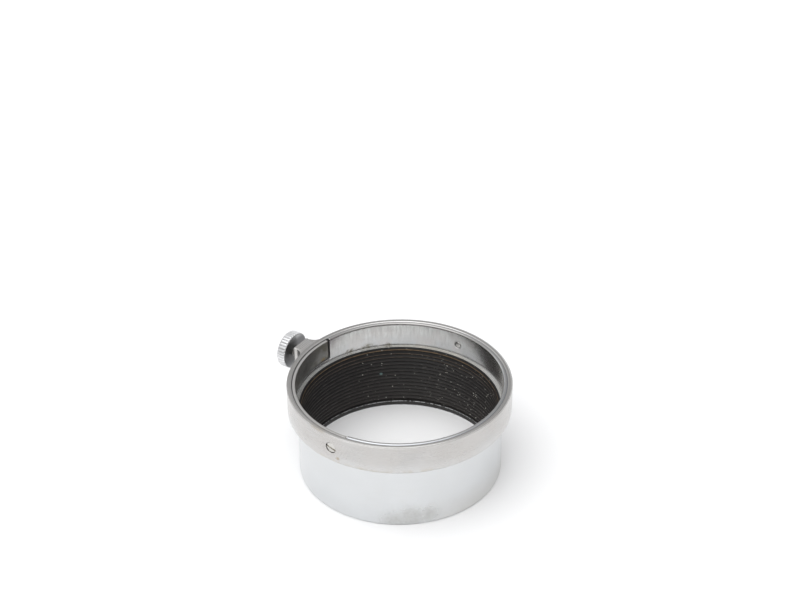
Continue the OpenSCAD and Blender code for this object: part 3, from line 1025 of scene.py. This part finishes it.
def build_small_screw(name, node, angle, tip, material):
    """Slotted cheese-head screw pointing at the optical axis."""
    out = COLLAR_R - SMALL_HEAD_SINK
    under = out - SMALL_HEAD_T
    outline = fillet([
        (0, tip, 0),
        (SMALL_SHANK_R, tip, 0.14),
        (SMALL_SHANK_R, under, 0.02),
        (SMALL_HEAD_R - 0.02, under, 0.03),
        (SMALL_HEAD_R - 0.02, out - 0.06, 0.08),
        (SMALL_HEAD_R * 0.55, out, 0.6),
        (0, out, 0),
    ], 4)
    screw = radial_lathe(name, outline, angle, SMALL_SCREW_Z, 96)
    depths, halves = (out - SLOT_DEPTH, out + 1), (-SLOT_HALF, SLOT_HALF)
    corners = [(x, y, z) for x in depths for y in halves for z in (-2, 2)]
    quads = [(0, 1, 3, 2), (4, 6, 7, 5), (0, 4, 5, 1), (2, 3, 7, 6), (0, 2, 6, 4), (1, 5, 7, 3)]
    cutter = make_object("cutter", corners, quads)
    turn = Matrix.Rotation(math.radians(angle), 4, "Z") @ Matrix.Rotation(math.radians(SLOT_TILT), 4, "X")
    cutter.data.transform(Matrix.Translation((0, 0, SMALL_SCREW_Z * MM)) @ turn)
    cut_away(screw, cutter)
    finish_piece(screw, "hood", node, material)


# ---------------------------------------------------------------- floor, light and camera


def build_floor():
    """Plain pale floor that runs back out of sight."""
    marks = np.linspace(-FLOOR_REACH, FLOOR_REACH, 25)
    verts = [(x, y, FRONT_Z) for x in marks for y in marks]
    floor = make_object("floor", verts, grid_faces(len(marks), len(marks), False, False))
    s = Shader("floor_paper", 0.0)
    tone = s.mix(s.noise(0.02, 3, 0.5, seed=200.0), (0.92, 0.918, 0.918), (0.905, 0.903, 0.904))
    s.surface.inputs["Specular IOR Level"].default_value = 0.1
    floor.data.materials.append(s.finish(tone, 0.9))


def in_view_frame(x, y, z):
    """A direction given as right, away and up in the main view, in the hood's own frame."""
    return Matrix.Rotation(HEADING, 3, "Z") @ Vector((x, y, z))


def add_softbox(name, direction, distance, size, power, colour):
    """Square area light that looks at the hood."""
    data = bpy.data.lights.new(name, "AREA")
    data.shape = "RECTANGLE"
    data.size, data.size_y = size
    data.energy = power
    data.color = colour
    light = bpy.data.objects.new(name, data)
    towards = in_view_frame(*direction).normalized()
    light.location = towards * distance
    light.rotation_euler = towards.to_track_quat("Z", "Y").to_euler()
    bpy.context.scene.collection.objects.link(light)


def build_world():
    """Studio surroundings: mid grey low behind the hood, bright overhead and in front."""
    world = bpy.data.worlds.new("studio")
    bpy.context.scene.world = world
    world.use_nodes = True
    tree = world.node_tree
    background = tree.nodes["Background"]
    coords = tree.nodes.new("ShaderNodeTexCoord")
    dot = tree.nodes.new("ShaderNodeVectorMath")
    dot.operation = "DOT_PRODUCT"
    dot.inputs[1].default_value = in_view_frame(-0.4, -0.2, 0.88).normalized()
    tree.links.new(coords.outputs["Generated"], dot.inputs[0])
    ramp = tree.nodes.new("ShaderNodeValToRGB")
    ramp.color_ramp.interpolation = "EASE"
    tones = [(0.0, 0.34), (0.48, 0.48), (0.62, 0.56), (0.8, 0.88), (1.0, 1.15)]
    elements = ramp.color_ramp.elements
    while len(elements) < len(tones):
        elements.new(0.5)
    for element, (place, tone) in zip(elements, tones):
        element.position = place
        element.color = (tone, tone * 1.004, tone * 1.012, 1)
    half = tree.nodes.new("ShaderNodeMath")
    half.operation = "MULTIPLY_ADD"
    half.inputs[1].default_value = 0.5
    half.inputs[2].default_value = 0.5
    tree.links.new(dot.outputs["Value"], half.inputs[0])
    tree.links.new(half.outputs[0], ramp.inputs[0])
    tree.links.new(ramp.outputs[0], background.inputs["Color"])
    background.inputs["Strength"].default_value = 1.0


def build_camera():
    """Camera at the main viewing angle."""
    data = bpy.data.cameras.new("camera")
    data.lens = LENS_MM
    data.sensor_width = 36
    data.clip_start = 0.01
    data.clip_end = 10
    camera = bpy.data.objects.new("camera", data)
    aim = Matrix.Rotation(HEADING, 4, "Z") @ Matrix.Rotation(math.pi / 2 - CAMERA_PITCH, 4, "X")
    aim = aim @ Matrix.Rotation(CAMERA_ROLL, 4, "Z")
    camera.matrix_world = Matrix.Translation(Vector(CAMERA_AT) * MM) @ aim
    bpy.context.scene.collection.objects.link(camera)
    bpy.context.scene.camera = camera


def build_studio():
    """Floor, surroundings, two softboxes and the camera."""
    build_floor()
    build_world()
    add_softbox("key", (-0.4, -0.5, 0.8), 0.9, (1.0, 1.0), 2.0, (1.0, 0.995, 0.985))
    add_softbox("overhead", (-0.08, -0.05, 1.0), 0.9, (1.0, 1.0), 3.2, (0.985, 0.992, 1.0))
    build_camera()
    bpy.context.scene.view_settings.view_transform = "Standard"


chrome = satin_chrome()
nickel = satin_nickel()
screw_metal = screw_nickel()
build_barrel(chrome)
build_sleeve(black_paint())
build_collar(nickel)
build_leaf(spring_steel())
build_spindle(dark_steel())
build_head(bright_chrome())
spring_tip = LEAF_R - LEAF_T + FIT_GAP
collar_tip = SOCKET_R + FIT_GAP
build_small_screw("spring_screw_slotted", "spring_screw", SMALL_SCREW_AT, spring_tip, screw_metal)
build_small_screw("collar_screw_slotted", "collar_screw", COLLAR_SCREW_AT, collar_tip, screw_metal)
build_studio()
